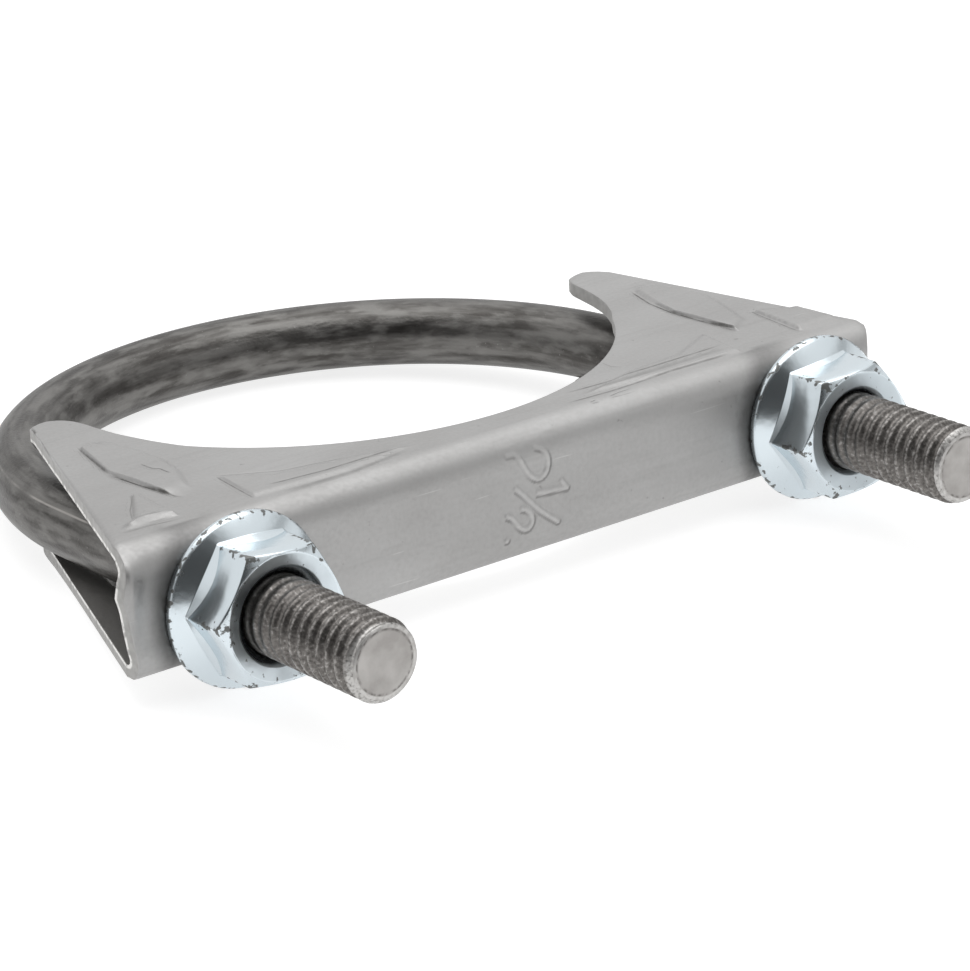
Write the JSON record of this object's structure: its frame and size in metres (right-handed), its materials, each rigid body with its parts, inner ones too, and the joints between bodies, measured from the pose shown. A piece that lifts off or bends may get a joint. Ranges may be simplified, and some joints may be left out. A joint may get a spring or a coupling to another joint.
{
  "type": "exhaust clamp",
  "caption": "Saddle clamp for an exhaust joint: a bent U-bolt, a folded steel saddle with a round pipe seat, and flange nuts that draw them together.",
  "frame": {"origin": "centre of the bow of the U-bolt, on the axis of the pipe that it holds", "axes": "+X across the two legs towards the right nut, +Y from the saddle towards the far side of the bow, +Z along the pipe"},
  "size_m": [0.0933, 0.0901, 0.0172],
  "materials": {
    "rod_steel": "dark drawn rod with lengthwise streaks and a rolled thread",
    "sheet_steel": "satin rolled sheet, bare and lightly scratched",
    "zinc_plate": "bright blue-white zinc plate with dark scuffs at the corners"
  },
  "bodies": {
    "u_bolt": {"u_bolt": "rod_steel"},
    "saddle": {"saddle": "sheet_steel"},
    "left_nut": {"flange_nut_left": "zinc_plate"},
    "right_nut": {"flange_nut_right": "zinc_plate"}
  },
  "joints": [
    {"name": "saddle_slide", "type": "slide", "parent": "u_bolt", "child": "saddle", "axis": [0, 1, 0], "range_m": [-0.0152, 0.007]},
    {"name": "left_nut_turn", "type": "hinge", "parent": "saddle", "child": "left_nut", "pos_m": [-0.0354, -0.03215, 0], "axis": [0, 1, 0], "range_deg": [-3880, 1788]},
    {"name": "right_nut_turn", "type": "hinge", "parent": "saddle", "child": "right_nut", "pos_m": [0.0354, -0.03215, 0], "axis": [0, 1, 0], "range_deg": [-3880, 1788]}
  ],
  "couplings": [
    {"joint": "left_nut_turn", "follows": "saddle_slide", "rad_per_m": 4452.7},
    {"joint": "right_nut_turn", "follows": "saddle_slide", "rad_per_m": 4452.7}
  ]
}
